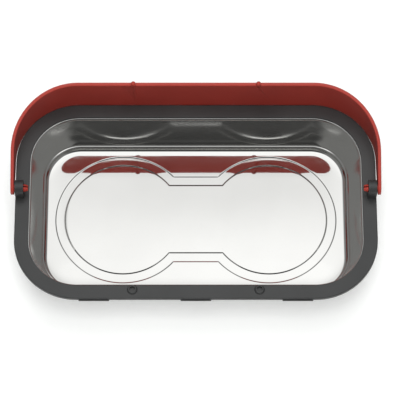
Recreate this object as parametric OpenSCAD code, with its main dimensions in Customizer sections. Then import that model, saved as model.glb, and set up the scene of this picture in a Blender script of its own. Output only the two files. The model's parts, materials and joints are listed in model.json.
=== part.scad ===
// Magnetic parts tray: a drawn steel pan with an embossed floor, held in a moulded
// rim frame, with a swinging handle and two ring magnets under a rubber base cover.
// X runs left to right, Y front to back, Z up from the surface that the tray stands on.

/* [Rim frame] */
// Overall length of the rim frame, left to right
tray_w = 241.3; // [220:0.1:280]
// Overall depth of the rim frame, front to back
tray_d = 139.7; // [137:0.1:160]
// Outer corner radius of the rim frame
corner_r = 42; // [38:0.5:48]
// Width of the flat rim round the opening
rim_w = 9.5; // [8.5:0.1:11]
// Thickness of the rim's top plate
rim_plate_t = 1.4; // [1.2:0.1:2]
// Height of the outer lip, from the rim's top face down
rim_lip_h = 2.8; // [2.4:0.1:5]
// Thickness of the outer lip
rim_lip_t = 1.5; // [1:0.1:2]
// Radius of the rim's outer top edge
rim_edge_r = 0.65; // [0.2:0.05:1]
// Radius of the rim's inner top edge
rim_mouth_r = 0.4; // [0.2:0.05:0.8]

/* [Clip tabs] */
// Length of each clip tab along the rim
tab_w = 20; // [10:0.5:30]
// Distance between neighbouring clip tabs
tab_pitch = 67; // [40:0.5:70]
// How far a clip tab stands out from the lip
tab_out = 0.8; // [0.6:0.1:1.8]
// Drop from the rim's top face to a clip tab's top
tab_drop = 2.3; // [1.4:0.1:2.4]
// Thickness of the hook under the pan's flange
hook_t = 1.1; // [0.8:0.1:2]
// Reach of the hook under the pan's flange
hook_reach = 2.4; // [1.2:0.1:3.5]

/* [Hinge] */
// Distance of the hinge axis behind the middle of the tray
pivot_y = 5.6; // [0:0.1:12]
// Height of the hinge axis above the rim's top face
pivot_h = 7.3; // [6.6:0.1:10]
// Radius of the round head of a hinge lug
lug_r = 5.3; // [4.4:0.1:6]
// Half the length of a hinge lug's foot
lug_foot = 4.7; // [3.5:0.1:6]
// Thickness of a hinge lug along the axis
lug_t = 5.6; // [4:0.1:6.5]
// Distance of a lug's outer face inside the rim's side
lug_inset = 0.35; // [0.2:0.05:1]
// Diameter of a hinge pin
pin_d = 4.8; // [4:0.1:6.4]
// Clearance round a hinge pin
pin_play = 0.05; // [0.02:0.01:0.1]
// How far a hinge pin's barbed end stands past its lug
pin_proud = 2.7; // [2:0.1:3.5]
// Width of the slot that splits a hinge pin
pin_slot = 1; // [0.6:0.1:1.6]
// How far the barb stands out from the pin
barb_h = 0.2; // [0.15:0.05:0.5]

/* [Handle] */
// Thickness of the handle's band
band_t = 2.2; // [1.8:0.1:3]
// Clearance between the rim's edge and the band
band_gap = 0.3; // [0.2:0.05:0.5]
// Radius of the round ends of the arms
arm_end_r = 4.5; // [4:0.1:5]
// Distance behind the hinge axis at which an arm's lower edge meets the bar's
arm_run = 19; // [16:0.5:24]
// Height of the bar's upper edge above the rim's top face
bar_top_h = 30; // [22:0.5:40]
// Gap that is left where the handle comes to rest
rest_gap = 0.3; // [0.2:0.05:0.5]
// Distance of a locking peg from the middle of the bar
peg_x = 41.8; // [25:0.1:60]
// Diameter of a locking peg
peg_d = 3.4; // [2.4:0.1:4]
// Height of a locking peg with its round tip
peg_h = 2.8; // [2.2:0.1:3]
// Diameter of a peg's socket collar at its foot on the front rim
socket_d = 7; // [6:0.1:7.4]
// Diameter of a peg's socket collar at its top
socket_top_d = 5.2; // [4.8:0.1:5.8]
// Height of a peg's socket collar above the rim's top face
socket_h = 1.3; // [0.8:0.1:2.2]
// Clearance round a locking peg in its socket
peg_play = 0.3; // [0.2:0.05:0.5]

/* [Pan] */
// Thickness of the pan's sheet
sheet_t = 0.8; // [0.6:0.1:1]
// Depth from the rim's top face to the pan's floor
pan_depth = 34.5; // [28:0.5:50]
// How far the bend at the pan's mouth shows inside the rim
bend_show = 0.9; // [0.5:0.1:1.5]
// Radius of the bend at the pan's mouth
bend_r = 1.6; // [1.2:0.1:2.4]
// How far the wall leans in, from the bend down to the ledge
wall_lean = 8; // [5:0.1:9]
// Height of the ledge above the pan's floor
ledge_z = 4.8; // [4.4:0.1:7]
// Width of the ledge
ledge_w = 1.2; // [0.6:0.1:1.6]
// Fall of the ledge towards the floor
ledge_fall = 0.9; // [0.5:0.1:1.2]
// Radius between the wall and the floor
floor_r = 3; // [2:0.1:3.2]

/* [Floor emboss] */
// Distance from the rim's side to the end of the outer line
field_end = 24.85; // [23.5:0.05:30]
// Half the width of the neck between the fields, at the outer line
neck_h = 31.5; // [28:0.1:36]
// Width of the sunk band between the outer and the inner line
groove_w = 7.2; // [6:0.1:7.6]
// Depth of the sunk band
groove_d = 0.35; // [0.2:0.05:0.6]
// Width of the slope at each line
riser_w = 1.6; // [1:0.1:2.2]

/* [Base] */
// Outer diameter of a ring magnet
magnet_d = 70; // [60:0.5:71]
// Bore of a ring magnet
magnet_bore = 32; // [28:0.5:36]
// Thickness of a ring magnet
magnet_t = 9; // [8.4:0.1:14]
// Thickness of the base cover under the magnets
cover_skin = 2; // [1.5:0.1:3]
// Thickness of the base cover's wall
cover_wall = 3.8; // [2.6:0.1:4.2]
// Radius of the base cover's bottom edge
cover_edge_r = 2; // [1:0.1:2.6]
// Clearance between the pieces inside the base cover
fit_gap = 0.2; // [0.1:0.05:0.4]

/* [Magnet fixing] */
// Thickness of the pressed retainer that holds a magnet up
retainer_t = 1; // [0.8:0.1:1.2]
// Width of the retainer's flange under the magnet
retainer_flange = 3.6; // [2.5:0.1:5]
// Depth of the retainer's web below the pan's floor
web_drop = 2; // [1.6:0.1:2.4]
// Diameter of the welded stud
stud_d = 5; // [4:0.5:6]
// Diameter of the stud's welded head
stud_head_d = 9; // [8:0.5:11]
// Thickness of the stud's welded head
stud_head_t = 1; // [0.8:0.1:1.2]
// Outer diameter of the washer
washer_d = 10; // [9.5:0.5:14]
// Thickness of the washer
washer_t = 0.8; // [0.6:0.1:1]
// Width of the nut across its flats
nut_af = 8; // [8:0.5:10]
// Height of the nut
nut_h = 4; // [3:0.1:4]

/* [Hidden] */
$fn = 96;
overrun = 1;
arc_steps = 8;

// Heights above the surface that the tray stands on
stack_z = cover_skin + fit_gap;
magnet_z = stack_z + retainer_t;
seat_z = magnet_z + magnet_t;
floor_z = seat_z + sheet_t;
rim_z = floor_z + pan_depth;
flange_z = rim_z - rim_plate_t;
pivot_z = rim_z + pivot_h;

// Rectangle through the corner centres, which every swept profile follows
path_x = tray_w / 2 - corner_r;
path_y = tray_d / 2 - corner_r;
mouth_r = corner_r - rim_w;

// Pan section, measured outwards from that rectangle
lip_gap = 0.3;
pan_edge_r = corner_r - rim_lip_t - lip_gap;
ledge_top_r = mouth_r - bend_show - wall_lean;
ledge_end_r = ledge_top_r - ledge_w;
wall_top_z = flange_z - bend_r;
lean_angle = atan2(wall_lean, wall_top_z - floor_z - ledge_z);
bend_c = [mouth_r - bend_show + bend_r * cos(lean_angle), wall_top_z];
foot_c = [ledge_end_r - floor_r, floor_z + floor_r];
wall_shift = [sheet_t / cos(lean_angle), 0];

// Emboss: under the sheet the sunk band is a ridge, spread so that each slope keeps the
// sheet's thickness, and the base cover with its magnets fits inside that ridge
ridge_spread = sheet_t * tan(atan2(groove_d, riser_w) / 2);
cover_inset = groove_w + ridge_spread + fit_gap;
pocket_inset = cover_inset + cover_wall;
lobe_r = magnet_d / 2 + fit_gap + pocket_inset;
lobe_x = tray_w / 2 - lobe_r - field_end;

// Handle: the upper edge is tangent to the arm ends and lies flat when it is closed
band_in = corner_r + band_gap;
band_out = band_in + band_t;
bar_y = path_y + band_in + band_t / 2;
bar_reach = norm([bar_y - pivot_y, bar_top_h - pivot_h]);
edge_angle = atan2(bar_top_h - pivot_h, bar_y - pivot_y) - asin(arm_end_r / bar_reach);
edge_reach = sqrt(pow(bar_reach, 2) - pow(arm_end_r, 2));
rest_z = rim_z - tab_drop + rest_gap;
foot_y = path_y + band_out;
foot_reach = norm([arm_run, rest_z - pivot_z]);
foot_angle = atan2(rest_z - pivot_z, arm_run) + asin(arm_end_r / foot_reach);

// Hinge and socket places
lug_x = tray_w / 2 - lug_inset;
arm_x = path_x + band_in;
pin_tip_x = lug_x - lug_t - pin_proud;
barb_gap = 0.3;
barb_x = lug_x - lug_t - barb_gap;
pin_tip_share = 0.85;
slot_end_x = lug_x - lug_t / 2;
socket_y = pivot_y - edge_reach;
socket_floor = 0.8;

// Retainer and stud places
hat_r = magnet_bore / 2 - fit_gap;
web_z = seat_z - web_drop - retainer_t;
washer_z = web_z - washer_t;
nut_z = washer_z - nut_h;
stud_gap = 0.05;
stud_end = 0.6;

// Points along a round stretch of an outline
function arc(centre, radius, from, to) =
    [for (i = [0:arc_steps]) let (a = from + (to - from) * i / arc_steps)
        centre + radius * [cos(a), sin(a)]];

// Sweeps a section round the rectangle through the corner centres
module sweep_round() {
    corners = [[1, 1, 0], [-1, 1, 90], [-1, -1, 180], [1, -1, 270]];
    for (c = corners)
        translate([c[0] * path_x, c[1] * path_y, 0])
            rotate([0, 0, c[2]])
                rotate_extrude(angle = 90) children();
    for (turn = [0, 180])
        rotate([0, 0, turn])
            translate([path_x, 0, 0])
                rotate([90, 0, 0])
                    linear_extrude(height = 2 * path_y, center = true) children();
    for (turn = [90, 270])
        rotate([0, 0, turn])
            translate([path_y, 0, 0])
                rotate([90, 0, 0])
                    linear_extrude(height = 2 * path_x, center = true) children();
}

// Rounded rectangle at a distance from the rectangle through the corner centres
module round_rect(reach) {
    square([2 * (path_x + reach), 2 * path_y], center = true);
    square([2 * path_x, 2 * (path_y + reach)], center = true);
    for (sx = [-1, 1], sy = [-1, 1])
        translate([sx * path_x, sy * path_y]) circle(r = reach);
}

// Extrudes a section drawn in Y and Z along X, between two places
module along_x(from, to) {
    translate([from, 0, 0])
        rotate([90, 0, 90])
            linear_extrude(height = to - from) children();
}

// Two round fields and the neck between them, set in from the outer line
module field_outline(inset) {
    square([2 * lobe_x, 2 * (neck_h - inset)], center = true);
    for (side = [-1, 1])
        translate([side * lobe_x, 0]) circle(r = lobe_r - inset);
}

// The same fields as a block with sloping sides, under a straight skirt
module field_block(foot_inset, top_inset, skirt) {
    for (side = [-1, 1])
        translate([side * lobe_x, 0, 0])
            cylinder(h = groove_d, r1 = lobe_r - foot_inset, r2 = lobe_r - top_inset);
    along_x(-lobe_x, lobe_x)
        polygon([[foot_inset - neck_h, 0], [neck_h - foot_inset, 0],
            [neck_h - top_inset, groove_d], [top_inset - neck_h, groove_d]]);
    translate([0, 0, groove_d])
        linear_extrude(height = skirt) field_outline(top_inset);
}

// The band between the two lines, with its slopes spread apart by a distance
module band_block(spread, skirt) {
    inner_inset = groove_w + spread;
    difference() {
        field_block(riser_w - spread, -spread, skirt);
        field_block(inner_inset - riser_w, inner_inset, skirt + overrun);
        translate([0, 0, -overrun])
            linear_extrude(height = overrun) field_outline(inner_inset - riser_w);
    }
}

// Section of the pan's flange, wall, ledge and floor radius
module pan_section() {
    polygon(concat(
        [[pan_edge_r, flange_z]],
        arc(bend_c, bend_r, 90, 180 - lean_angle),
        [[ledge_top_r, floor_z + ledge_z]],
        [[ledge_end_r, floor_z + ledge_z - ledge_fall]],
        arc(foot_c, floor_r, 0, -90),
        arc(foot_c, floor_r + sheet_t, -90, 0),
        [wall_shift + [ledge_end_r, floor_z + ledge_z - ledge_fall]],
        [wall_shift + [ledge_top_r, floor_z + ledge_z]],
        arc(bend_c, bend_r - sheet_t, 180 - lean_angle, 90),
        [[pan_edge_r, flange_z - sheet_t]]
    ));
}

// Drawn pan: the swept wall, the flat floor and the sunk band, which is a ridge underneath
module pan() {
    color("gainsboro") difference() {
        union() {
            sweep_round() pan_section();
            translate([0, 0, seat_z])
                linear_extrude(height = sheet_t) round_rect(foot_c[0]);
            translate([0, 0, seat_z - groove_d]) band_block(ridge_spread, sheet_t / 2);
        }
        translate([0, 0, floor_z - groove_d]) band_block(0, overrun);
    }
}

// Section of the rim's top plate and outer lip
module rim_section() {
    polygon(concat(
        [[mouth_r, flange_z]],
        arc([mouth_r + rim_mouth_r, rim_z - rim_mouth_r], rim_mouth_r, 180, 90),
        arc([corner_r - rim_edge_r, rim_z - rim_edge_r], rim_edge_r, 90, 0),
        [[corner_r, rim_z - rim_lip_h]],
        [[corner_r - rim_lip_t, rim_z - rim_lip_h]],
        [[corner_r - rim_lip_t, flange_z]]
    ));
}

// Clip tab: a ledge outside the lip and a hook under the pan's flange
module clip_tab(x) {
    outer_y = tray_d / 2 + tab_out;
    lip_y = tray_d / 2 - rim_lip_t;
    hook_y = path_y + pan_edge_r - hook_reach;
    hook_z = flange_z - sheet_t;
    along_x(x - tab_w / 2, x + tab_w / 2)
        polygon([
            [lip_y, rim_z - tab_drop],
            [outer_y, rim_z - tab_drop],
            [outer_y, hook_z - hook_t / 2],
            [outer_y - hook_t / 2, hook_z - hook_t],
            [hook_y + hook_t, hook_z - hook_t],
            [hook_y, hook_z - hook_t / 2],
            [hook_y, hook_z],
            [lip_y, hook_z]
        ]);
}

// Hinge lug on the right rim, before it is bored
module hinge_lug() {
    along_x(lug_x - lug_t, lug_x) {
        translate([pivot_y, pivot_z]) circle(r = lug_r);
        translate([pivot_y - lug_foot, flange_z])
            square([2 * lug_foot, pivot_z - flange_z]);
    }
}

// Tapered socket collar for a locking peg, before it is bored
module socket_collar(x) {
    translate([x, socket_y, rim_z]) {
        cylinder(h = socket_h, d1 = socket_d, d2 = socket_top_d);
        translate([0, 0, -rim_plate_t / 2]) cylinder(h = rim_plate_t / 2, d = socket_d);
    }
}

// Rim frame with its clip tabs, hinge lugs and peg sockets
module rim_frame() {
    bore_l = lug_t + 2 * overrun;
    color("dimgray") difference() {
        union() {
            sweep_round() rim_section();
            for (turn = [0, 180], i = [-1:1])
                rotate([0, 0, turn]) clip_tab(i * tab_pitch);
            for (side = [0, 1]) mirror([side, 0, 0]) hinge_lug();
            for (side = [-1, 1]) socket_collar(side * peg_x);
        }
        for (side = [0, 1]) mirror([side, 0, 0])
            translate([lug_x + overrun, pivot_y, pivot_z])
                rotate([0, -90, 0])
                    cylinder(h = bore_l, d = pin_d + 2 * pin_play);
        for (side = [-1, 1])
            translate([side * peg_x, socket_y, flange_z + socket_floor])
                cylinder(h = rim_plate_t + socket_h, d = peg_d + 2 * peg_play);
    }
}

// Side outline of the handle: round arm ends that widen into the bar, whose lower edge
// hangs level just below the rim's top face
module handle_side() {
    top_run = foot_y - pivot_y + arm_end_r * sin(edge_angle);
    translate([pivot_y, pivot_z]) circle(r = arm_end_r);
    polygon([
        [pivot_y, pivot_z] + arm_end_r * [-sin(edge_angle), cos(edge_angle)],
        [foot_y, pivot_z + arm_end_r * cos(edge_angle) + top_run * tan(edge_angle)],
        [foot_y, rest_z],
        [pivot_y + arm_run, rest_z],
        [pivot_y, pivot_z] + arm_end_r * [sin(foot_angle), -cos(foot_angle)],
        [pivot_y, pivot_z]
    ]);
}

// Plan of the handle's band, which follows the rim at the back
module handle_plan() {
    arm_front = pivot_y - arm_end_r - overrun;
    difference() {
        round_rect(band_out);
        round_rect(band_in);
        translate([-path_x - band_out - overrun, arm_front - tray_d])
            square([2 * (path_x + band_out + overrun), tray_d]);
    }
}

// Split snap pin on the right arm, pointing inwards
module hinge_pin() {
    pin_r = pin_d / 2;
    translate([arm_x + band_t / 2, pivot_y, pivot_z])
        rotate([0, -90, 0])
            difference() {
                root = arm_x + band_t / 2;
                rotate_extrude()
                    polygon([
                        [0, 0],
                        [pin_r, 0],
                        [pin_r, root - barb_x],
                        [pin_r + barb_h, root - barb_x],
                        [pin_r + barb_h, root - barb_x + barb_h],
                        [pin_r * pin_tip_share, root - pin_tip_x],
                        [0, root - pin_tip_x]
                    ]);
                translate([-pin_d, -pin_slot / 2, root - slot_end_x])
                    cube([2 * pin_d, pin_slot, slot_end_x - pin_tip_x + overrun]);
            }
}

// Locking peg on the bar's upper edge, square to that edge
module locking_peg(x) {
    stem = peg_h - peg_d / 2;
    translate([x, bar_y, rim_z + bar_top_h])
        rotate([edge_angle, 0, 0]) {
            translate([0, 0, -band_t / 2]) cylinder(h = stem + band_t / 2, d = peg_d);
            translate([0, 0, stem]) sphere(d = peg_d);
        }
}

// Handle: one moulded band with its hinge pins and locking pegs
module handle() {
    band_low = rest_z - overrun;
    band_tall = 2 * bar_top_h + rim_z - band_low;
    color("firebrick") {
        intersection() {
            translate([0, 0, band_low]) linear_extrude(height = band_tall) handle_plan();
            along_x(-arm_x - band_t - overrun, arm_x + band_t + overrun) handle_side();
        }
        for (side = [0, 1]) mirror([side, 0, 0]) hinge_pin();
        for (side = [-1, 1]) locking_peg(side * peg_x);
    }
}

// Rubber base cover, glued under the floor inside the ridge, with a pocket for each magnet
module base_cover() {
    cover_r = lobe_r - cover_inset;
    cover_neck_h = neck_h - cover_inset;
    edge_c = cover_neck_h - cover_edge_r;
    color("darkslategray") difference() {
        union() {
            for (side = [-1, 1])
                translate([side * lobe_x, 0, 0])
                    rotate_extrude()
                        polygon(concat(
                            [[0, 0]],
                            arc([cover_r - cover_edge_r, cover_edge_r], cover_edge_r, -90, 0),
                            [[cover_r, seat_z], [0, seat_z]]
                        ));
            along_x(-lobe_x, lobe_x)
                polygon(concat(
                    [[-cover_neck_h, seat_z]],
                    arc([-edge_c, cover_edge_r], cover_edge_r, 180, 270),
                    arc([edge_c, cover_edge_r], cover_edge_r, -90, 0),
                    [[cover_neck_h, seat_z]]
                ));
        }
        translate([0, 0, cover_skin])
            linear_extrude(height = seat_z) field_outline(pocket_inset);
    }
}

// Ring magnet
module magnet(x) {
    color("dimgray")
        translate([x, 0, magnet_z])
            difference() {
                cylinder(h = magnet_t, d = magnet_d);
                translate([0, 0, -overrun])
                    cylinder(h = magnet_t + 2 * overrun, d = magnet_bore);
            }
}

// Pressed retainer: a flange under the magnet, a wall in its bore and a drilled web
module retainer(x) {
    hole_r = stud_d / 2 + fit_gap;
    wall_r = hat_r - retainer_t;
    color("silver")
        translate([x, 0, 0])
            rotate_extrude()
                polygon([
                    [hole_r, web_z],
                    [wall_r, web_z],
                    [wall_r, stack_z],
                    [hat_r + retainer_flange, stack_z],
                    [hat_r + retainer_flange, magnet_z],
                    [hat_r, magnet_z],
                    [hat_r, web_z + retainer_t],
                    [hole_r, web_z + retainer_t]
                ]);
}

// Stud with a flat head that is welded under the pan
module stud(x) {
    stud_z = nut_z - stud_end;
    color("silver")
        translate([x, 0, 0]) {
            translate([0, 0, seat_z - stud_head_t])
                cylinder(h = stud_head_t, d = stud_head_d);
            translate([0, 0, stud_z])
                cylinder(h = seat_z - stud_head_t - stud_z, d = stud_d);
        }
}

// Plain washer on the stud
module washer(x) {
    color("silver")
        translate([x, 0, washer_z])
            difference() {
                cylinder(h = washer_t, d = washer_d);
                translate([0, 0, -overrun])
                    cylinder(h = washer_t + 2 * overrun, d = stud_d + 2 * fit_gap);
            }
}

// Hexagon nut on the stud
module nut(x) {
    color("silver")
        translate([x, 0, nut_z])
            difference() {
                cylinder(h = nut_h, d = nut_af / cos(30), $fn = 6);
                translate([0, 0, -overrun])
                    cylinder(h = nut_h + 2 * overrun, d = stud_d + 2 * stud_gap);
            }
}

pan();
rim_frame();
handle();
base_cover();
magnet(-lobe_x);  // left_magnet
magnet(lobe_x);  // right_magnet
retainer(-lobe_x);  // left_retainer
retainer(lobe_x);  // right_retainer
stud(-lobe_x);  // left_stud
stud(lobe_x);  // right_stud
washer(-lobe_x);  // left_washer
washer(lobe_x);  // right_washer
nut(-lobe_x);  // left_nut
nut(lobe_x);  // right_nut
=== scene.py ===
import json
import math

import bpy
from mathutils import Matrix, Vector


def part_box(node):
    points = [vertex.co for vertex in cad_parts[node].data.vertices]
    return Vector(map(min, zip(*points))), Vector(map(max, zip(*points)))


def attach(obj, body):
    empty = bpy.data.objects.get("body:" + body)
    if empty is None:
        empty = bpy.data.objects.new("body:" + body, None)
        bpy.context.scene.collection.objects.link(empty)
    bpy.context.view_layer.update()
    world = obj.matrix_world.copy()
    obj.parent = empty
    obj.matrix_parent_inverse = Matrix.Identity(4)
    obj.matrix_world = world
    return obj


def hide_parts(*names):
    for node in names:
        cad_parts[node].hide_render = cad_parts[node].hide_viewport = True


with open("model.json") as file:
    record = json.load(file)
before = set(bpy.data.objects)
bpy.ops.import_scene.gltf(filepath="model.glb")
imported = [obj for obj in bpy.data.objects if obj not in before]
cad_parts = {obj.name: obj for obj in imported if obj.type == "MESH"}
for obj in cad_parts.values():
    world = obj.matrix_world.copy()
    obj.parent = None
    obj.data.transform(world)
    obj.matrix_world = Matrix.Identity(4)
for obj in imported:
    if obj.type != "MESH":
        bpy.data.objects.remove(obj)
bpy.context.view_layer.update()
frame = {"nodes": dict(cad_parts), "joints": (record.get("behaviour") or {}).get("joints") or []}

# Sizes are in millimetres, and a mesh is scaled to metres when it is made.
MM = 0.001


def cad_mm(node):
    """Lowest and highest corner of a CAD node."""
    low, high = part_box(node)
    return low / MM, high / MM


# Pan: the sheet and the section of its wall
pan_low, pan_high = cad_mm("pan")
SHEET_T = 0.8
GROOVE_D = 0.35
PAN_EDGE_R = 40.2
FLANGE_Z = pan_high.z
PATH_X = pan_high.x - PAN_EDGE_R
PATH_Y = pan_high.y - PAN_EDGE_R
SEAT_Z = pan_low.z + GROOVE_D
FLOOR_Z = SEAT_Z + SHEET_T
MOUTH_R = 31.6
MOUTH_BEND_R = 1.3
LEDGE_TOP_R = 25.0
LEDGE_TOP_Z = FLOOR_Z + 4.7
LEDGE_END_R = 23.8
LEDGE_END_Z = FLOOR_Z + 4.4
LEDGE_BEND_R = 0.5
FLOOR_BEND_R = 1.9
UNDER_BEND_R = 3.8

# Fields on the floor: two lobes over the magnets, joined by a neck, with a sunk band round them
magnet_low, magnet_high = cad_mm("right_magnet")
LOBE_R = 46.49
LOBE_X = (magnet_low.x + magnet_high.x) / 2
NECK_H = 31.5
BAND_W = 7.2
RISER_W = 0.8
RISER_BEND_R = 0.9

# Floor: a slight crown, a roll-off towards the wall, and an edge that curls up to the wall's foot
CROWN_H = 0.7
CROWN_X = 100.0
CROWN_X_POWER = 12
CROWN_Y = 45.0
ROLL_START_R = 2.0
ROLL_END_R = 16.6
ROLL_SLOPE = math.radians(2.7)
CORNER_ROLL = 0.3
CORNER_RUN = 1.2
CURL_START_R = 16.75
CURL_END_R = 22.2
CURL_GENTLE = math.radians(0.29)
CURL_STEEP = math.radians(0.00208)
FLOOR_EDGE_R = 20.0
UNDER_EDGE_R = FLOOR_EDGE_R - 1.0

# Rings and steps of the pan's mesh
SUPPORT = 0.4
WALL_STEPS = 10
UNDER_STEPS = 6
RISER_STEPS = 5
CURL_STEPS = 8
NECK_STEPS = 12
LOBE_STEPS = ((0.0, 0.18, 16), (0.18, 0.55, 64), (0.55, 1.0, 40))
LOBE_SHARES = [a + (b - a) * i / n for a, b, n in LOBE_STEPS for i in range(n)] + [1.0]
OUTER_SHARES = (0.05, 0.12, 0.2, 0.3, 0.4, 0.5, 0.6, 0.7, 0.8, 0.9)
INNER_SHARES = (0.97, 0.93, 0.88, 0.82, 0.75, 0.67, 0.58, 0.49, 0.4, 0.3, 0.2, 0.1)

# Rim and hinge
RIM_T = 1.4
RIM_Z = FLANGE_Z + RIM_T
CORNER_R = 42.0
LUG_T = 5.6
LUG_INSET = 0.35
LUG_X = PATH_X + CORNER_R - LUG_INSET
pivot = Vector(frame["joints"][0]["pos_m"]) / MM

# Handle: the band, its pins and its pegs
HANDLE_T = 2.2
BAND_GAP = 0.3
HANDLE_R = CORNER_R + BAND_GAP + HANDLE_T / 2
ARM_END_R = 4.5
ARM_RUN = 19.0
BAR_TOP_Z = RIM_Z + 30.0
REST_Z = RIM_Z - 2.0
EDGE_R = 0.4
EDGE_STEPS = 4
ARM_STEPS = 12
CORNER_STEPS = 40
BAR_STEPS = 6
PIN_R = 2.4
PIN_GAP = 0.3
PIN_TIP_L = 2.7
PIN_CHAMFER = 0.3
PIN_TAPER_SHARE = 0.85
PIN_TIP_SHARE = 0.75
PIN_SLOT = 1.0
PIN_STEPS = 48
BARB_H = 0.2
PEG_X = 41.8
PEG_R = 1.7
PEG_H = 2.8
PEG_ROOT = 1.05
PEG_FLAT_R = 0.05
PEG_STEPS = 32
DOME_STEPS = 8
OVERRUN = 1.0

# Angles, in degrees, over which edges of the meshes stay sharp
PAN_SHARP = 50
HANDLE_SHARP = 40
SMALL_SHARP = 30

# Camera of the photograph
VIEW_ELEVATION = 67.6
VIEW_DISTANCE = 1500.0
LENS = 202.3
SHIFT_X = 0.0103

# Room: directions and fades in degrees, and strengths
PANEL_RISE = 71
PANEL_SHIFT = 2
PANEL_SIDE = (12, 21)
PANEL_LOWER = (-38, -16)
PANEL_UPPER = (22, 32)
PANEL_SHADE = (-11, 3)
PANEL_STRENGTHS = (0.64, 0.92)
PATCH_RISE = 62
PATCH_SPREAD = (24, 17)
ROOM_STRENGTHS = (0.2, 0.05)
LOW_FRONT = (46.5, 50)
LOW_FRONT_SHARE = 0.25

# Stage floor, in metres, and its glow to the camera and in reflections
STAGE_HALF = 4.0
STAGE_DROP = 0.02 * MM
STAGE_COLOUR = (0.7, 0.71, 0.7, 1)
CAMERA_GLOW = 0.32
MIRROR_GLOW = 0.08


def filleted(points, radii, steps):
    """Open outline with each of its inner corners rounded by its own radius."""
    points = [Vector(p) for p in points]
    rounded = [points[0]]
    for before, corner, after, radius in zip(points, points[1:], points[2:], radii):
        back = (before - corner).normalized()
        ahead = (after - corner).normalized()
        half = back.angle(ahead) / 2
        centre = corner + (back + ahead).normalized() * (radius / math.sin(half))
        first = corner + back * (radius / math.tan(half)) - centre
        last = corner + ahead * (radius / math.tan(half)) - centre
        sweep = math.pi - 2 * half
        for i in range(steps + 1):
            turn = sweep * i / steps
            spoke = first * math.sin(sweep - turn) + last * math.sin(turn)
            rounded.append(centre + spoke / math.sin(sweep))
    rounded.append(points[-1])
    return rounded


def supported(outline, distance):
    """Outline with a point added near each end of its longer straight stretches."""
    done = [outline[0]]
    for a, b in zip(outline, outline[1:]):
        length = (b - a).length
        if length > 4 * distance:
            done.append(a.lerp(b, distance / length))
            done.append(b.lerp(a, distance / length))
        done.append(b)
    return done


def mirrored(quarter):
    """Closed loop from its first quarter, which runs from the X axis to the Y axis."""
    back = quarter[-2::-1]
    second = [Vector((-p.x, p.y)) for p in back]
    third = [Vector((-p.x, -p.y)) for p in quarter[1:]]
    fourth = [Vector((p.x, -p.y)) for p in back[:-1]]
    return quarter + second + third + fourth


def field_ring(inset):
    """Plan loop that lies a given distance inside the fields' outer line."""
    radius = LOBE_R - inset
    half_neck = NECK_H - inset
    corner = math.pi - math.asin(half_neck / radius)
    corner_x = LOBE_X + radius * math.cos(corner)
    quarter = []
    for share in LOBE_SHARES:
        turn = share * corner
        quarter.append(Vector((LOBE_X + radius * math.cos(turn), radius * math.sin(turn))))
    for i in range(1, NECK_STEPS + 1):
        quarter.append(Vector((corner_x * (1 - i / NECK_STEPS), half_neck)))
    return mirrored(quarter)


def wall_foot(point, reach):
    """Base point and outward direction of the rounded rectangle, seen from the middle through a point."""
    x, y = abs(point.x), abs(point.y)
    if x * PATH_Y >= y * (PATH_X + reach):
        base = Vector((PATH_X, (PATH_X + reach) * y / x))
        out = Vector((1, 0))
    elif y * PATH_X >= x * (PATH_Y + reach):
        base = Vector(((PATH_Y + reach) * x / y, PATH_Y))
        out = Vector((0, 1))
    else:
        base = Vector((PATH_X, PATH_Y))
        ray = Vector((x, y)).normalized()
        along = ray.dot(base)
        far = along + math.sqrt(along ** 2 - base.length_squared + reach ** 2)
        out = (ray * far - base) / reach
    flip = Vector((math.copysign(1, point.x), math.copysign(1, point.y)))
    return base * flip, out * flip


def crown(point):
    """Height of the floor's slight crown, which fades out before the foot of the wall."""
    across = max(0, 1 - (point.y / CROWN_Y) ** 2)
    along = max(0, 1 - (point.x / CROWN_X) ** CROWN_X_POWER)
    return CROWN_H * across ** 2 * along ** 2


def roll_off(reach, diagonal):
    """Height of the floor's middle over its edge, level at both ends and more at the corners."""
    width = ROLL_END_R - ROLL_START_R
    share = min(1, max(0, reach - ROLL_START_R) / (width + CORNER_RUN * diagonal))
    slope = ROLL_SLOPE * (1 + CORNER_ROLL * diagonal * share)
    return slope * width / math.pi * (1 + math.cos(math.pi * share))


def curl(reach):
    """Height and slope of the floor's curled edge, gentle at first and steep at the wall."""
    run = max(0, reach - CURL_START_R)
    height = CURL_GENTLE * run ** 2 + CURL_STEEP * run ** 5
    slope = 2 * CURL_GENTLE * run + 5 * CURL_STEEP * run ** 4
    return height, slope


def floor_rise(point):
    """Height of a place on the floor over the flat sheet."""
    side = max(0, abs(point.x) - PATH_X)
    back = max(0, abs(point.y) - PATH_Y)
    reach = math.hypot(side, back)
    diagonal = (2 * side * back / reach ** 2) ** 2 if reach else 0
    return crown(point) + roll_off(reach, diagonal) + curl(reach)[0]


def lifted(loop, height):
    """Plan loop at one height."""
    return [Vector((p.x, p.y, height)) for p in loop]


def on_floor(loop, height=0.0):
    """Plan loop laid on the shaped floor, or at a height over it."""
    return [Vector((p.x, p.y, FLOOR_Z + height + floor_rise(p))) for p in loop]


def between(first, second, share):
    """Loop part of the way from one loop to another."""
    return [a.lerp(b, share) for a, b in zip(first, second)]


def around(feet, reach):
    """Plan loop at a reach from the base points."""
    return [base + out * reach for base, out in feet]


def swept(feet, outline):
    """Rings of an outline, given as reach and height, swept round the pan."""
    return [lifted(around(feet, reach), height) for reach, height in outline]


def groove_profile():
    """Inset and height of the sunk band's slopes, from just outside it to just inside."""
    margin = 3 * SUPPORT
    corners = [
        (-margin, 0.0),
        (0.0, 0.0),
        (RISER_W, -GROOVE_D),
        (BAND_W - RISER_W, -GROOVE_D),
        (BAND_W, 0.0),
        (BAND_W + margin, 0.0),
    ]
    profile = filleted(corners, [RISER_BEND_R] * 4, RISER_STEPS)
    return supported(profile, SUPPORT)[1:]


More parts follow.
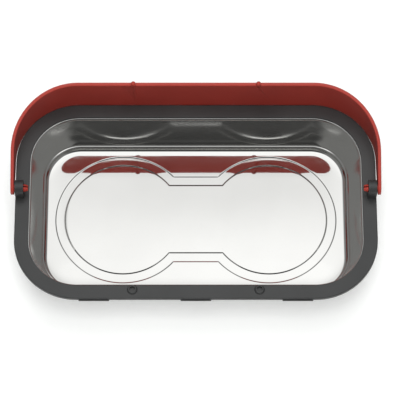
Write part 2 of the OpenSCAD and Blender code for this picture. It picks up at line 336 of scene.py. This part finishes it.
def pan_top_rings(feet):
    """Rings of the pan's upper skin, from the flange's edge to near the middle of the floor."""
    curl_h, curl_slope = curl(CURL_END_R)
    foot_h = curl_h + math.tan(curl_slope) * (LEDGE_END_R - CURL_END_R)
    corners = [
        (PAN_EDGE_R, FLANGE_Z),
        (MOUTH_R, FLANGE_Z),
        (LEDGE_TOP_R, LEDGE_TOP_Z),
        (LEDGE_END_R, LEDGE_END_Z),
        (LEDGE_END_R, FLOOR_Z + foot_h),
        (CURL_END_R, FLOOR_Z + curl_h),
    ]
    bends = [MOUTH_BEND_R, LEDGE_BEND_R, LEDGE_BEND_R, FLOOR_BEND_R]
    wall = filleted(corners, bends, WALL_STEPS)[:-1]
    rings = swept(feet, supported(wall, SUPPORT))
    for i in range(CURL_STEPS + 1):
        reach = CURL_END_R + (FLOOR_EDGE_R - CURL_END_R) * i / CURL_STEPS
        rings.append(on_floor(around(feet, reach)))
    edge = around(feet, FLOOR_EDGE_R)
    profile = groove_profile()
    line = field_ring(profile[0][0])
    for share in OUTER_SHARES:
        rings.append(on_floor(between(edge, line, share)))
    for inset, height in profile:
        rings.append(on_floor(field_ring(inset), height))
    inner = field_ring(profile[-1][0])
    for share in INNER_SHARES:
        rings.append(on_floor([p * share for p in inner]))
    return rings


def pan_under_rings(feet):
    """Rings of the pan's lower skin, with the sunk band as a ridge."""
    wall_h = FLANGE_Z - LEDGE_TOP_Z
    side = SHEET_T * (math.hypot(MOUTH_R - LEDGE_TOP_R, wall_h) / wall_h)
    corners = [
        (PAN_EDGE_R, FLANGE_Z - SHEET_T),
        (MOUTH_R + side, FLANGE_Z - SHEET_T),
        (LEDGE_TOP_R + side, LEDGE_TOP_Z),
        (LEDGE_END_R + side, LEDGE_END_Z),
        (LEDGE_END_R + side, SEAT_Z),
        (UNDER_EDGE_R, SEAT_Z),
    ]
    bends = [MOUTH_BEND_R - SHEET_T, LEDGE_BEND_R, LEDGE_BEND_R, UNDER_BEND_R]
    wall = filleted(corners, bends, UNDER_STEPS)[:-1]
    rings = swept(feet, supported(wall, SUPPORT))
    for inset, height in groove_profile():
        rings.append(lifted(field_ring(inset), SEAT_Z + height))
    rings.append([Vector((p.x / 2, p.y / 2, p.z)) for p in rings[-1]])
    return rings


def linked(name, data):
    """New object in the scene from a mesh, lamp or camera."""
    piece = bpy.data.objects.new(name, data)
    bpy.context.scene.collection.objects.link(piece)
    return piece


def mesh_object(name, vertices, faces, sharp_angle):
    """Smooth-shaded object from a vertex list in millimetres, with edges over an angle kept sharp."""
    mesh = bpy.data.meshes.new(name)
    mesh.from_pydata([p * MM for p in vertices], [], faces)
    mesh.validate()
    mesh.shade_smooth()
    mesh.set_sharp_from_angle(angle=math.radians(sharp_angle))
    return linked(name, mesh)


def ring_faces(first, second, count):
    """Quads between two closed rings of vertices, given by their first vertices."""
    quads = []
    for i in range(count):
        j = (i + 1) % count
        quads.append((first + i, first + j, second + j, second + i))
    return quads


def pan_piece():
    """Drawn steel pan as one closed skin."""
    feet = [wall_foot(p, LEDGE_END_R) for p in field_ring(0)]
    count = len(feet)
    rings = pan_under_rings(feet)[::-1] + pan_top_rings(feet)
    vertices = [p for ring in rings for p in ring]
    faces = []
    for k in range(len(rings) - 1):
        faces += ring_faces(k * count, (k + 1) * count, count)
    bottom = len(vertices)
    top = bottom + 1
    vertices += [Vector((0, 0, SEAT_Z)), on_floor([Vector((0, 0))])[0]]
    last = (len(rings) - 1) * count
    for i in range(count):
        j = (i + 1) % count
        faces.append((bottom, j, i))
        faces.append((last + i, last + j, top))
    return mesh_object("pan_skin", vertices, faces, PAN_SHARP)


# Side outline of the handle: both edges are tangent to the arm's round end
bar_rise = BAR_TOP_Z - pivot.z
bar_run = PATH_Y + HANDLE_R - pivot.y
bar_reach = math.hypot(bar_run, bar_rise)
foot_drop = REST_Z - pivot.z
foot_reach = math.hypot(ARM_RUN, foot_drop)
EDGE_ANGLE = math.atan2(bar_rise, bar_run) - math.asin(ARM_END_R / bar_reach)
FOOT_ANGLE = math.atan2(foot_drop, ARM_RUN) + math.asin(ARM_END_R / foot_reach)

# Length of the band's middle line round a corner, and from the X axis to the middle of the bar
CORNER_L = HANDLE_R * math.pi / 2
HALF_L = PATH_Y + CORNER_L + PATH_X


def plan_at(along):
    """Place on the right half of the band's middle line, and its outward direction."""
    if along < PATH_Y:
        return Vector((PATH_X + HANDLE_R, along)), Vector((1, 0))
    if along < PATH_Y + CORNER_L:
        turn = (along - PATH_Y) / HANDLE_R
        out = Vector((math.cos(turn), math.sin(turn)))
        return Vector((PATH_X, PATH_Y)) + out * HANDLE_R, out
    return Vector((PATH_X - (along - PATH_Y - CORNER_L), PATH_Y + HANDLE_R)), Vector((0, 1))


def band_point(along, height, offset):
    """Point of the band, at a distance along its right half or, past the middle, its left half."""
    side = 1 if along <= HALF_L else -1
    place, out = plan_at(along if side > 0 else 2 * HALF_L - along)
    spot = place + out * offset
    share = min(1, max(0, height - pivot.z) / ARM_END_R)
    return Vector((side * spot.x, spot.y, height + math.tan(EDGE_ANGLE) * share * out.y * offset))


def upper_edge(y):
    """Height of the band's upper edge at a place along Y."""
    run = y - pivot.y + ARM_END_R * math.sin(EDGE_ANGLE)
    return pivot.z + ARM_END_R * math.cos(EDGE_ANGLE) + run * math.tan(EDGE_ANGLE)


def arm_end(turn):
    """Point of the arm's round end, as distance along the band and height."""
    return pivot.y + ARM_END_R * math.cos(turn), pivot.z + ARM_END_R * math.sin(turn)


def band_outline():
    """Upper and lower points of the band's side, as distance along it and height, end to end."""
    upper, lower = [], []
    for i in range(ARM_STEPS + 1):
        upper.append(arm_end(math.pi - (math.pi / 2 - EDGE_ANGLE) * i / ARM_STEPS))
        lower.append(arm_end(math.pi + (math.pi / 2 + FOOT_ANGLE) * i / ARM_STEPS))
    stations = [pivot.y + ARM_RUN]
    stations += [PATH_Y + CORNER_L * i / CORNER_STEPS for i in range(CORNER_STEPS + 1)]
    stations += [PATH_Y + CORNER_L + PATH_X * i / BAR_STEPS for i in range(1, BAR_STEPS + 1)]
    for along in stations:
        upper.append((along, upper_edge(plan_at(along)[0].y)))
        lower.append((along, REST_Z))
    for points in (upper, lower):
        points += [(2 * HALF_L - along, height) for along, height in points[-2::-1]]
    return [Vector(p) for p in upper], [Vector(p) for p in lower]


def band_edge():
    """Inset and offset of the band's rounded edge, from its outer face to its inner one."""
    half = HANDLE_T / 2
    profile = [(EDGE_R + SUPPORT, half)]
    for i in range(EDGE_STEPS + 1):
        turn = math.pi / 2 * i / EDGE_STEPS
        profile.append((EDGE_R * (1 - math.sin(turn)), half - EDGE_R * (1 - math.cos(turn))))
    return profile + [(inset, -offset) for inset, offset in profile[::-1]]


def band_piece():
    """Handle band: a thin plate bent round the rim, with round edges all along its outline."""
    upper, lower = band_outline()
    loop = lower + upper[-2:0:-1]
    count = len(loop)
    inward = []
    for i in range(count):
        run = loop[(i + 1) % count] - loop[i - 1]
        inward.append(Vector((-run.y, run.x)).normalized())
    profile = band_edge()
    vertices = []
    for inset, offset in profile:
        for point, normal in zip(loop, inward):
            spot = point + normal * inset
            vertices.append(band_point(spot.x, spot.y, offset))
    faces = []
    for k in range(len(profile) - 1):
        faces += ring_faces((k + 1) * count, k * count, count)
    inner = (len(profile) - 1) * count
    for i in range(len(upper) - 1):
        low = [i, i + 1]
        high = [v for v in (count - i - 1, (count - i) % count) if v not in low]
        outside = low + high
        faces.append(tuple(outside))
        faces.append(tuple(inner + v for v in outside[::-1]))
    return mesh_object("handle_band", vertices, faces, HANDLE_SHARP)


def turned(name, outline, steps):
    """Closed solid of revolution about Z, from radius and height points."""
    vertices, faces = [], []
    for radius, height in outline:
        for i in range(steps):
            turn = 2 * math.pi * i / steps
            vertices.append(Vector((radius * math.cos(turn), radius * math.sin(turn), height)))
    for k in range(len(outline) - 1):
        faces += ring_faces(k * steps, (k + 1) * steps, steps)
    faces.append(tuple(range(steps - 1, -1, -1)))
    faces.append(tuple((len(outline) - 1) * steps + i for i in range(steps)))
    return mesh_object(name, vertices, faces, SMALL_SHARP)


def block(name, low, high):
    """Box between two corners, as a cutter."""
    x, y, z = zip(low, high)
    vertices = [Vector((x[i], y[j], z[k])) for i in (0, 1) for j in (0, 1) for k in (0, 1)]
    faces = [(0, 1, 3, 2), (4, 6, 7, 5), (0, 4, 5, 1), (2, 3, 7, 6), (0, 2, 6, 4), (1, 5, 7, 3)]
    return mesh_object(name, vertices, faces, SMALL_SHARP)


def combine(piece, other, operation):
    """Cuts another solid out of a piece, or joins it on, and removes the other solid."""
    step = piece.modifiers.new(operation, "BOOLEAN")
    step.operation = operation
    step.solver = "EXACT"
    step.object = other
    bpy.context.view_layer.update()
    result = bpy.data.meshes.new_from_object(piece.evaluated_get(bpy.context.evaluated_depsgraph_get()))
    piece.modifiers.clear()
    piece.data = result
    bpy.data.objects.remove(other)


def pin_piece(side):
    """Split hinge pin with a barbed end, pointing inwards from an arm."""
    root = PATH_X + HANDLE_R
    barb = root - (LUG_X - LUG_T - PIN_GAP)
    tip = barb + PIN_TIP_L
    outline = [
        (PIN_R, 0),
        (PIN_R, barb),
        (PIN_R + BARB_H, barb),
        (PIN_R + BARB_H, barb + BARB_H),
        (PIN_R * PIN_TAPER_SHARE, tip - PIN_CHAMFER),
        (PIN_R * PIN_TIP_SHARE, tip),
    ]
    pin = turned("pin", outline, PIN_STEPS)
    slot_start = root - (LUG_X - LUG_T / 2)
    reach = 2 * ARM_END_R
    slot = block("slot", (-reach, -PIN_SLOT / 2, slot_start), (reach, PIN_SLOT / 2, tip + OVERRUN))
    combine(pin, slot, "DIFFERENCE")
    pin.rotation_euler = (0, -side * math.pi / 2, 0)
    pin.location = Vector((side * root, pivot.y, pivot.z)) * MM
    return pin


def peg_piece(side):
    """Locking peg with a round tip, square to the bar's upper edge."""
    stem = PEG_H - PEG_R
    outline = [(PEG_R, -PEG_ROOT)]
    for i in range(DOME_STEPS):
        turn = math.pi / 2 * i / DOME_STEPS
        outline.append((PEG_R * math.cos(turn), stem + PEG_R * math.sin(turn)))
    outline.append((PEG_FLAT_R, PEG_H))
    peg = turned("peg", outline, PEG_STEPS)
    peg.rotation_euler = (EDGE_ANGLE, 0, 0)
    peg.location = Vector((side * PEG_X, PATH_Y + HANDLE_R, BAR_TOP_Z)) * MM
    return peg


def handle_piece():
    """Whole handle as one closed mesh: the band, its pins and its pegs."""
    band = band_piece()
    for side in (-1, 1):
        combine(band, pin_piece(side), "UNION")
        combine(band, peg_piece(side), "UNION")
    band.data.shade_smooth()
    band.data.set_sharp_from_angle(angle=math.radians(HANDLE_SHARP))
    return band


def new_material(name):
    """Node material with its main shader."""
    material = bpy.data.materials.new(name)
    material.use_nodes = True
    shader = material.node_tree.nodes["Principled BSDF"]
    return material, material.node_tree, shader


def noise(tree, scale, detail=4.0, stretch=(1, 1, 1)):
    """Noise over the object's own coordinates, in metres."""
    place = tree.nodes.new("ShaderNodeTexCoord")
    mapping = tree.nodes.new("ShaderNodeMapping")
    mapping.inputs["Scale"].default_value = stretch
    texture = tree.nodes.new("ShaderNodeTexNoise")
    texture.inputs["Scale"].default_value = scale
    texture.inputs["Detail"].default_value = detail
    tree.links.new(place.outputs["Object"], mapping.inputs["Vector"])
    tree.links.new(mapping.outputs["Vector"], texture.inputs["Vector"])
    return texture.outputs["Fac"]


def mapped(tree, value, start, end, low, high, blend="LINEAR"):
    """A value taken from one range to another, and held at its ends."""
    node = tree.nodes.new("ShaderNodeMapRange")
    node.interpolation_type = blend
    node.inputs["From Min"].default_value = start
    node.inputs["From Max"].default_value = end
    node.inputs["To Min"].default_value = low
    node.inputs["To Max"].default_value = high
    tree.links.new(value, node.inputs["Value"])
    return node.outputs["Result"]


def roughened(tree, shader, value, low, high):
    """Roughness that follows a noise value over a range."""
    tree.links.new(mapped(tree, value, 0.3, 0.7, low, high), shader.inputs["Roughness"])


def coloured(tree, shader, value, first, second):
    """Base colour that follows a noise value between two colours."""
    node = tree.nodes.new("ShaderNodeValToRGB")
    node.color_ramp.elements[0].position = 0.35
    node.color_ramp.elements[0].color = (*first, 1)
    node.color_ramp.elements[1].position = 0.65
    node.color_ramp.elements[1].color = (*second, 1)
    tree.links.new(value, node.inputs["Fac"])
    tree.links.new(node.outputs["Color"], shader.inputs["Base Color"])


def bumped(tree, shader, value, strength, distance):
    """Surface relief from a noise value."""
    node = tree.nodes.new("ShaderNodeBump")
    node.inputs["Strength"].default_value = strength
    node.inputs["Distance"].default_value = distance
    tree.links.new(value, node.inputs["Height"])
    tree.links.new(node.outputs["Normal"], shader.inputs["Normal"])


def worked(tree, operation, first, second):
    """Sum, product or greater one of two values."""
    node = tree.nodes.new("ShaderNodeMath")
    node.operation = operation
    tree.links.new(first, node.inputs[0])
    tree.links.new(second, node.inputs[1])
    return node.outputs[0]


def scaled(tree, value, factor):
    """A value times a fixed factor."""
    node = tree.nodes.new("ShaderNodeMath")
    node.operation = "MULTIPLY"
    node.inputs[1].default_value = factor
    tree.links.new(value, node.inputs[0])
    return node.outputs[0]


def polished_steel():
    """Polished sheet, mirror-bright on the floor and duller up the drawn wall, with faint wipe marks."""
    dull_start = (FLOOR_Z + 4) * MM
    dull_end = (FLOOR_Z + 20) * MM
    material, tree, shader = new_material("polished_steel")
    shader.inputs["Metallic"].default_value = 1
    coloured(tree, shader, noise(tree, 14, 5), (0.82, 0.82, 0.8), (0.87, 0.87, 0.85))
    wipe = mapped(tree, noise(tree, 60, 3, (1, 8, 1)), 0.3, 0.7, 0.02, 0.06)
    place = tree.nodes.new("ShaderNodeTexCoord")
    split = tree.nodes.new("ShaderNodeSeparateXYZ")
    tree.links.new(place.outputs["Object"], split.inputs["Vector"])
    dull = mapped(tree, split.outputs["Z"], dull_start, dull_end, 0.0, 0.1)
    tree.links.new(worked(tree, "ADD", dull, wipe), shader.inputs["Roughness"])
    return material


def moulded_plastic(name, dark, light, smooth, rough):
    """Satin moulded plastic with a fine spark-eroded grain and faint cloudiness."""
    material, tree, shader = new_material(name)
    cloud = noise(tree, 30, 6)
    coloured(tree, shader, cloud, dark, light)
    roughened(tree, shader, cloud, smooth, rough)
    bumped(tree, shader, noise(tree, 2600, 2), 0.12, 0.0001)
    return material


def handle_plastic():
    """Red plastic of the handle."""
    return moulded_plastic("handle_plastic", (0.32, 0.034, 0.024), (0.36, 0.04, 0.028), 0.35, 0.45)


def rim_plastic():
    """Dark-grey plastic of the rim frame."""
    return moulded_plastic("rim_plastic", (0.03, 0.031, 0.031), (0.038, 0.039, 0.039), 0.32, 0.42)


def base_rubber():
    """Dull rubber with a fine pebble."""
    material, tree, shader = new_material("base_rubber")
    coloured(tree, shader, noise(tree, 40), (0.012, 0.012, 0.012), (0.026, 0.026, 0.027))
    roughened(tree, shader, noise(tree, 60), 0.75, 0.9)
    shader.inputs["Specular IOR Level"].default_value = 0.3
    bumped(tree, shader, noise(tree, 1800, 2), 0.3, 0.0002)
    return material


def ferrite():
    """Sintered ferrite: charcoal with pits and ground marks."""
    material, tree, shader = new_material("ferrite")
    coloured(tree, shader, noise(tree, 400, 6), (0.045, 0.045, 0.05), (0.1, 0.1, 0.105))
    roughened(tree, shader, noise(tree, 200), 0.5, 0.75)
    bumped(tree, shader, noise(tree, 1200, 6), 0.4, 0.0002)
    return material


def plated_steel():
    """Zinc-plated steel with a cloudy finish."""
    material, tree, shader = new_material("plated_steel")
    shader.inputs["Metallic"].default_value = 1
    cloud = noise(tree, 120, 6)
    coloured(tree, shader, cloud, (0.5, 0.51, 0.5), (0.66, 0.66, 0.62))
    roughened(tree, shader, cloud, 0.3, 0.5)
    bumped(tree, shader, noise(tree, 2500, 3), 0.15, 0.0001)
    return material


def finish_node(name, material):
    """Gives a carried-over CAD node its material."""
    mesh = frame["nodes"][name].data
    mesh.materials.clear()
    mesh.materials.append(material)


def stage_material():
    """Pale matt floor that glows to the camera, and less in reflections, where it is nearly white anyway."""
    material = bpy.data.materials.new("stage_floor")
    material.use_nodes = True
    tree = material.node_tree
    tree.nodes.clear()
    out = tree.nodes.new("ShaderNodeOutputMaterial")
    both = tree.nodes.new("ShaderNodeAddShader")
    matt = tree.nodes.new("ShaderNodeBsdfDiffuse")
    glow = tree.nodes.new("ShaderNodeEmission")
    rays = tree.nodes.new("ShaderNodeLightPath").outputs
    matt.inputs["Color"].default_value = STAGE_COLOUR
    direct = scaled(tree, rays["Is Camera Ray"], CAMERA_GLOW)
    bounced = worked(tree, "MAXIMUM", rays["Is Glossy Ray"], rays["Is Transmission Ray"])
    total = worked(tree, "ADD", direct, scaled(tree, bounced, MIRROR_GLOW))
    tree.links.new(total, glow.inputs["Strength"])
    tree.links.new(matt.outputs[0], both.inputs[0])
    tree.links.new(glow.outputs[0], both.inputs[1])
    tree.links.new(both.outputs[0], out.inputs["Surface"])
    return material


def stage_floor():
    """Floor just under the base, which takes the object's shadow."""
    mesh = bpy.data.meshes.new("stage_floor")
    corners = [(-1, -1), (1, -1), (1, 1), (-1, 1)]
    mesh.from_pydata([(x * STAGE_HALF, y * STAGE_HALF, -STAGE_DROP) for x, y in corners], [], [(0, 1, 2, 3)])
    mesh.materials.append(stage_material())
    linked("stage_floor", mesh)


def sine(degrees):
    """Sine of an angle in degrees."""
    return math.sin(math.radians(degrees))


def cosine(degrees):
    """Cosine of an angle in degrees."""
    return math.cos(math.radians(degrees))


def aimed(tree, place, direction):
    """Dot product of the view direction with another one."""
    node = tree.nodes.new("ShaderNodeVectorMath")
    node.operation = "DOT_PRODUCT"
    node.inputs[1].default_value = direction
    tree.links.new(place, node.inputs[0])
    return node.outputs["Value"]


def faded(tree, value, start, end, low, high):
    """A value as a smooth step between two levels."""
    return mapped(tree, value, start, end, low, high, "SMOOTHSTEP")


def white_panel(tree, place):
    """Strength of the broad white panel above and behind, brighter upwards."""
    centre = Vector((0, cosine(PANEL_RISE), sine(PANEL_RISE)))
    upward = Vector((0, -sine(PANEL_RISE), cosine(PANEL_RISE)))
    across = aimed(tree, place, Vector((1, 0, 0)) - math.tan(math.radians(PANEL_SHIFT)) * centre)
    along = aimed(tree, place, upward)
    near, far = [sine(angle) for angle in PANEL_SIDE]
    edges = [
        faded(tree, across, near, far, 1, 0),
        faded(tree, across, -far, -near, 0, 1),
        faded(tree, along, sine(PANEL_LOWER[0]), sine(PANEL_LOWER[1]), 0, 1),
        faded(tree, along, sine(PANEL_UPPER[0]), sine(PANEL_UPPER[1]), 1, 0),
    ]
    panel = faded(tree, along, sine(PANEL_SHADE[0]), sine(PANEL_SHADE[1]), *PANEL_STRENGTHS)
    for edge in edges:
        panel = worked(tree, "MULTIPLY", panel, edge)
    return panel


def grey_room(tree, place):
    """Strength of the room round the panel, with a dark patch in front and a darker low front."""
    front = aimed(tree, place, (0, -cosine(PATCH_RISE), sine(PATCH_RISE)))
    room = faded(tree, front, cosine(PATCH_SPREAD[0]), cosine(PATCH_SPREAD[1]), *ROOM_STRENGTHS)
    ahead = aimed(tree, place, (0, -1, 0))
    low_front = faded(tree, ahead, sine(LOW_FRONT[0]), sine(LOW_FRONT[1]), 1, LOW_FRONT_SHARE)
    return worked(tree, "MULTIPLY", room, low_front)


def studio_world():
    """Grey room with a white panel, which the steel reflects."""
    world = bpy.data.worlds.new("studio")
    world.use_nodes = True
    bpy.context.scene.world = world
    tree = world.node_tree
    tree.nodes.clear()
    out = tree.nodes.new("ShaderNodeOutputWorld")
    sky = tree.nodes.new("ShaderNodeBackground")
    place = tree.nodes.new("ShaderNodeTexCoord").outputs["Generated"]
    light = worked(tree, "ADD", white_panel(tree, place), grey_room(tree, place))
    sky.inputs["Color"].default_value = (1, 1, 1, 1)
    tree.links.new(light, sky.inputs["Strength"])
    tree.links.new(sky.outputs[0], out.inputs["Surface"])


def soft_lamp(name, place, tilt, size, power):
    """Large soft lamp for the plastics and the floor, which doesn't show in the steel."""
    data = bpy.data.lights.new(name, "AREA")
    data.size = size
    data.energy = power
    lamp = linked(name, data)
    lamp.location = place
    lamp.rotation_euler = (math.radians(tilt), 0, 0)
    lamp.visible_glossy = False


def photo_camera():
    """Camera at the photograph's viewing angle."""
    data = bpy.data.cameras.new("camera")
    camera = linked("camera", data)
    rise = math.radians(VIEW_ELEVATION)
    away = Vector((0, -math.cos(rise), math.sin(rise))) * VIEW_DISTANCE
    camera.location = (Vector((0, 0, RIM_Z)) + away) * MM
    camera.rotation_euler = (math.pi / 2 - rise, 0, 0)
    data.lens = LENS
    data.shift_x = SHIFT_X
    data.clip_end = 20
    bpy.context.scene.camera = camera


photo_camera()
studio_world()
soft_lamp("back_lamp", place=(0, 0.45, 1.4), tilt=-18, size=0.9, power=8.0)
soft_lamp("top_lamp", place=(0, -0.4, 1.4), tilt=16, size=0.6, power=12.5)
soft_lamp("front_lamp", place=(0, -1.7, 0.9), tilt=63, size=1.9, power=10.0)
stage_floor()

pan = pan_piece()
pan.data.materials.append(polished_steel())
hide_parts("pan")
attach(pan, "tray")

handle = handle_piece()
handle.data.materials.append(handle_plastic())
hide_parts("handle")
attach(handle, "handle")

finish_node("rim_frame", rim_plastic())
finish_node("base_cover", base_rubber())
magnet_material = ferrite()
plated_material = plated_steel()
for side in ("left", "right"):
    finish_node(f"{side}_magnet", magnet_material)
    for piece in ("retainer", "stud", "washer", "nut"):
        finish_node(f"{side}_{piece}", plated_material)

bpy.context.scene.view_settings.view_transform = "Standard"
